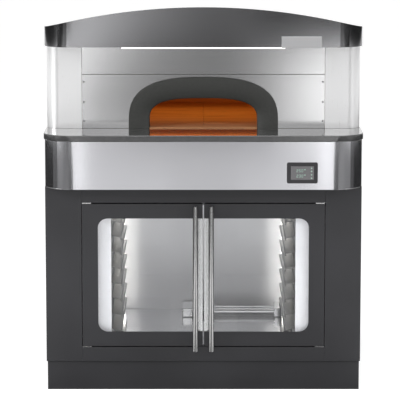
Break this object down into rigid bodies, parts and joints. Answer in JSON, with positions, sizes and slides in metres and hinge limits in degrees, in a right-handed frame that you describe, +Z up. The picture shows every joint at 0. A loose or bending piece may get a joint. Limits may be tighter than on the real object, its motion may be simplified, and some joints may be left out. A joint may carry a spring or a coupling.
{
  "type": "deck oven",
  "caption": "Stone deck oven with an arched mouth under a curved hood, on a glazed proving cabinet with twin hinged doors and a touch display.",
  "frame": {"origin": "on the floor, at the middle of the oven's width and depth", "axes": "+X to the right seen from the front, +Y from the front to the back, +Z up"},
  "size_m": [1.512, 1.45, 1.841],
  "materials": {
    "dark_paint": "satin dark grey",
    "stainless": "brushed",
    "polished_steel": "polished",
    "dark_top": "polished, nearly black",
    "dark_casting": "dark, slightly rough",
    "refractory": "rough, sandy",
    "insulation": "mineral wool",
    "clear_glass": "clear",
    "screen": "gloss",
    "black_plastic": "matt",
    "door_seal": "matt",
    "element": "oxidised",
    "lamp": "lit diffuser"
  },
  "bodies": {
    "oven_body": {"band_underside": "stainless", "bottom_rail": "dark_paint", "chamber_front_wall": "refractory", "chamber_rear_wall": "refractory", "chamber_vault": "stainless", "control_band": "stainless", "control_bezel": "black_plastic", "control_screen": "screen", "deck_frame": "stainless", "deck_stone_left": "refractory", "deck_stone_right": "refractory", "door_catch": "black_plastic", "door_jambs": "stainless", "electrics_box": "stainless", "exhaust_collar": "stainless", "face_lower": "stainless", "face_upper": "stainless", "floor_elements_left": "element", "floor_elements_right": "element", "floor_heater": "polished_steel", "front_post_left": "dark_paint", "front_post_right": "dark_paint", "hinge_lower_left": "polished_steel", "hinge_lower_right": "polished_steel", "hinge_upper_left": "polished_steel", "hinge_upper_right": "polished_steel", "hood_fascia": "dark_paint", "interior_light_left": "lamp", "interior_light_right": "lamp", "light_strip": "lamp", "liner_floor": "stainless", "liner_shell": "stainless", "mains_gland": "black_plastic", "mouth_sill": "refractory", "mouth_surround": "dark_casting", "name_plate": "polished_steel", "oven_insulation": "insulation", "oven_rear_panel": "stainless", "plinth": "dark_paint", "rear_panel": "dark_paint", "roof_elements": "element", "side_panel_left": "dark_paint", "side_panel_right": "dark_paint", "top_cover": "dark_paint", "top_rail": "dark_paint", "tray_rack_left": "stainless", "tray_rack_right": "stainless", "wing_left": "polished_steel", "wing_right": "polished_steel", "worktop": "dark_top"},
    "door_left": {"door_left_frame": "dark_paint", "door_left_glass": "clear_glass", "door_left_edge_strip": "polished_steel", "door_left_handle": "polished_steel", "door_left_seal": "door_seal"},
    "door_right": {"door_right_frame": "dark_paint", "door_right_glass": "clear_glass", "door_right_edge_strip": "polished_steel", "door_right_handle": "polished_steel", "door_right_seal": "door_seal"}
  },
  "joints": [
    {"name": "door_left_hinge", "type": "hinge", "parent": "oven_body", "child": "door_left", "pos_m": [-0.571, -0.589, 0.558], "axis": [0, 0, -1], "range_deg": [0, 110]},
    {"name": "door_right_hinge", "type": "hinge", "parent": "oven_body", "child": "door_right", "pos_m": [0.571, -0.589, 0.558], "axis": [0, 0, 1], "range_deg": [0, 110]}
  ]
}
